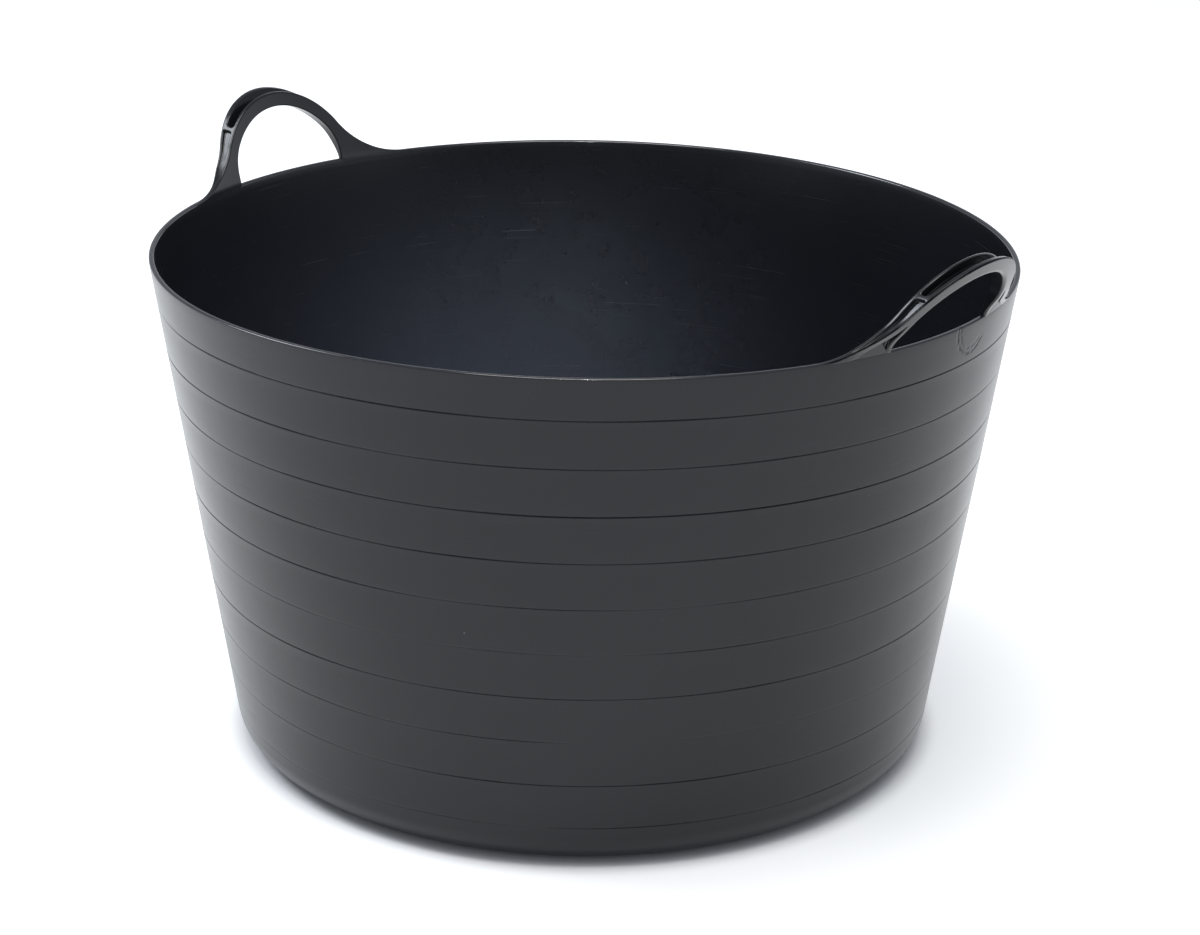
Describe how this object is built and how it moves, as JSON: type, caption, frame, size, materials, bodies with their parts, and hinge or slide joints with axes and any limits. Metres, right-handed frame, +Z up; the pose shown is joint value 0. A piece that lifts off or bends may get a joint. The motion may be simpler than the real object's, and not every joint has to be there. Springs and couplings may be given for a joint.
{
  "type": "mortar mixing tub",
  "caption": "Round tapered flexible plastic tub for mixing and carrying mortar, with raised loop handles on opposite sides of the rim and fine ring lines round the side.",
  "frame": {"origin": "on the ground at the tub's axis, the middle of the foot ring's underside", "axes": "+Z up along the tub's axis; X through both handles, +X to the handle nearer the viewer on the right; Y across the handles"},
  "size_m": [0.615, 0.565, 0.389],
  "materials": {
    "tub_plastic": "satin black flexible polyethylene, moulded smooth, fine ring lines outside",
    "handle_plastic": "satin black flexible polyethylene, the same moulding as the tub"
  },
  "bodies": {
    "tub": {"floor_plate": "tub_plastic", "foot_ring": "tub_plastic", "heel_band": "tub_plastic", "side_wall": "tub_plastic", "rim_lip": "tub_plastic"},
    "right_handle": {"right_inner_rail": "handle_plastic", "right_outer_rail": "handle_plastic", "right_grip_web": "handle_plastic", "right_front_end_web": "handle_plastic", "right_back_end_web": "handle_plastic", "right_front_leg": "handle_plastic", "right_back_leg": "handle_plastic"},
    "left_handle": {"left_inner_rail": "handle_plastic", "left_outer_rail": "handle_plastic", "left_grip_web": "handle_plastic", "left_front_end_web": "handle_plastic", "left_back_end_web": "handle_plastic", "left_front_leg": "handle_plastic", "left_back_leg": "handle_plastic"}
  },
  "joints": [
    {"name": "right_handle_flex", "type": "hinge", "parent": "tub", "child": "right_handle", "pos_m": [0.272, 0, 0.335], "axis": [0, -1, 0], "range_deg": [-20, 45], "stiffness_Nm_per_rad": 1.5, "deforming": ["right_front_leg", "right_back_leg"]},
    {"name": "left_handle_flex", "type": "hinge", "parent": "tub", "child": "left_handle", "pos_m": [-0.272, 0, 0.335], "axis": [0, 1, 0], "range_deg": [-20, 45], "stiffness_Nm_per_rad": 1.5, "deforming": ["left_front_leg", "left_back_leg"]}
  ]
}
